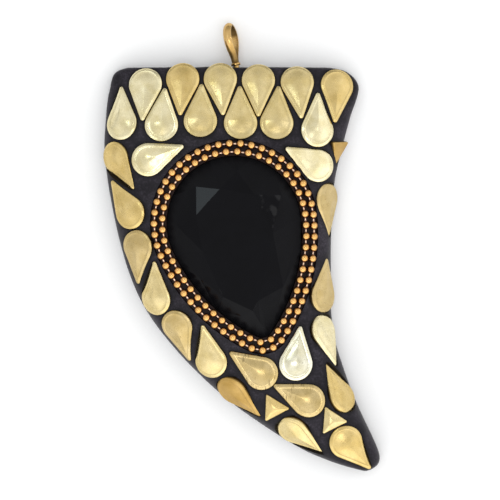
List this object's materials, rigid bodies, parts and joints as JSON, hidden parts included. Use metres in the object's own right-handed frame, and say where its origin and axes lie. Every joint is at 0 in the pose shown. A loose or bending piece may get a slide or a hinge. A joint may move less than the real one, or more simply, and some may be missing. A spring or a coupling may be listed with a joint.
{
  "type": "horn pendant",
  "caption": "Curved black resin horn pendant inlaid with brass drops round a pear cut stone in a double row of ball chain, hung from a strip bail.",
  "frame": {"origin": "on the flat back, 34 mm below the top edge, straight behind the stone's upper half", "axes": "+Z out of the domed front, +Y towards the bail, +X towards the side that the tip curves to"},
  "size_m": [0.0527, 0.0855, 0.0101],
  "materials": {
    "resin": "black cast resin, satin, with fine sanding marks",
    "stone": "polished opaque black glass",
    "inlay_brass": "pale polished brass, worn and slightly tarnished",
    "chain_brass": "darkened orange brass",
    "bail_brass": "warm polished brass"
  },
  "bodies": {
    "root": {"horn_body": "resin", "stone": "stone", "bail": "bail_brass", "chain_outer_balls": "chain_brass", "chain_outer_pins": "chain_brass", "chain_inner_balls": "chain_brass", "chain_inner_pins": "chain_brass", "drop_top_1": "inlay_brass", "drop_top_2": "inlay_brass", "drop_top_3": "inlay_brass", "drop_top_4": "inlay_brass", "drop_top_5": "inlay_brass", "drop_top_6": "inlay_brass", "drop_second_1": "inlay_brass", "drop_second_2": "inlay_brass", "drop_second_3": "inlay_brass", "drop_second_4": "inlay_brass", "drop_second_5": "inlay_brass", "drop_second_6": "inlay_brass", "drop_left_1": "inlay_brass", "drop_left_2": "inlay_brass", "drop_left_3": "inlay_brass", "drop_left_4": "inlay_brass", "drop_left_5": "inlay_brass", "drop_left_6": "inlay_brass", "drop_lower_1": "inlay_brass", "drop_lower_2": "inlay_brass", "drop_lower_3": "inlay_brass", "drop_lower_4": "inlay_brass", "drop_lower_5": "inlay_brass", "drop_lower_6": "inlay_brass", "drop_lower_7": "inlay_brass", "drop_lower_8": "inlay_brass", "drop_right_1": "inlay_brass", "drop_right_2": "inlay_brass", "drop_right_3": "inlay_brass", "drop_right_4": "inlay_brass", "triangle_edge": "inlay_brass", "triangle_left": "inlay_brass", "triangle_right": "inlay_brass"}
  },
  "joints": []
}
